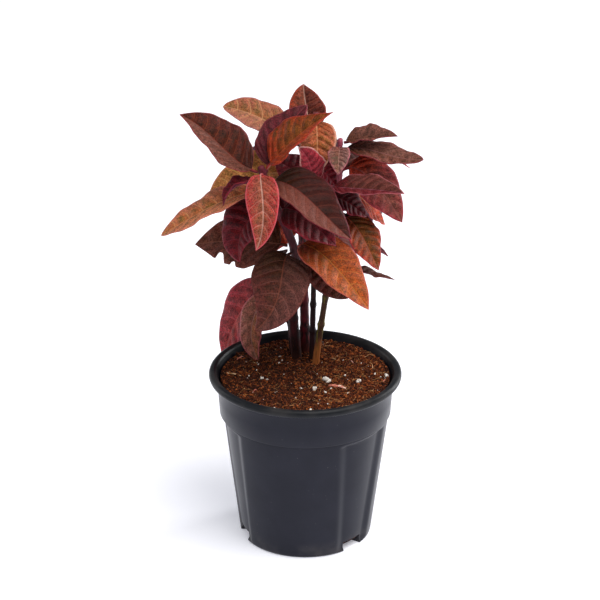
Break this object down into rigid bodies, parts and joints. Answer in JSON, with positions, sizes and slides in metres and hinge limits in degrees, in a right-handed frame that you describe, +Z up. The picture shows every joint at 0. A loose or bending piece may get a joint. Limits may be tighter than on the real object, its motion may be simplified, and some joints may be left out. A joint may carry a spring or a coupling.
{
  "type": "potted eranthemum",
  "caption": "Small leafy bush on slim canes in a dark round nursery pot, its pointed leaves wine red, maroon, mauve, olive and orange.",
  "frame": {"origin": "middle of the pot's flat underside, on the surface that it stands on", "axes": "+Z up through the pot's axis, -Y the front that the picture shows, +X to the right of it"},
  "size_m": [0.1455, 0.1433, 0.2625],
  "materials": {
    "pot": "moulded, soft sheen",
    "soil": "crumbly, fibrous, matte",
    "cane": "thin bark, satin",
    "leaf_wine": "satin, veined",
    "leaf_maroon": "satin, veined",
    "leaf_mauve": "satin, veined, greyish sheen",
    "leaf_olive": "satin, veined, mottled",
    "leaf_crimson": "satin, veined, pale midrib",
    "leaf_rust": "satin, veined, mottled"
  },
  "bodies": {
    "root": {"pot": "pot", "soil": "soil", "cane_a": "cane", "leaf_a1": "leaf_maroon", "leaf_a2": "leaf_rust", "leaf_a3": "leaf_wine", "leaf_a4": "leaf_crimson", "leaf_a5": "leaf_maroon", "leaf_a6": "leaf_wine", "leaf_a7": "leaf_rust", "leaf_a8": "leaf_wine", "leaf_a9": "leaf_wine", "leaf_a10": "leaf_maroon", "leaf_a11": "leaf_maroon", "leaf_a12": "leaf_rust", "cane_b": "cane", "leaf_b1": "leaf_mauve", "leaf_b2": "leaf_mauve", "leaf_b3": "leaf_mauve", "leaf_b4": "leaf_mauve", "leaf_b5": "leaf_crimson", "leaf_b6": "leaf_rust", "leaf_b7": "leaf_rust", "leaf_b8": "leaf_wine", "leaf_b9": "leaf_maroon", "leaf_b10": "leaf_maroon", "leaf_b11": "leaf_mauve", "leaf_b12": "leaf_maroon", "cane_c": "cane", "leaf_c1": "leaf_mauve", "leaf_c2": "leaf_maroon", "leaf_c3": "leaf_maroon", "leaf_c4": "leaf_crimson", "leaf_c5": "leaf_wine", "cane_d": "cane", "leaf_d1": "leaf_rust", "leaf_d2": "leaf_olive", "leaf_d3": "leaf_rust", "leaf_d4": "leaf_maroon", "leaf_d5": "leaf_wine", "leaf_d6": "leaf_maroon", "leaf_d7": "leaf_maroon", "leaf_d8": "leaf_rust", "leaf_d9": "leaf_olive", "leaf_d10": "leaf_crimson", "leaf_d11": "leaf_maroon", "leaf_d12": "leaf_wine", "cane_e": "cane", "leaf_e1": "leaf_crimson", "leaf_e2": "leaf_olive", "leaf_e3": "leaf_maroon", "leaf_e4": "leaf_maroon"}
  },
  "joints": []
}
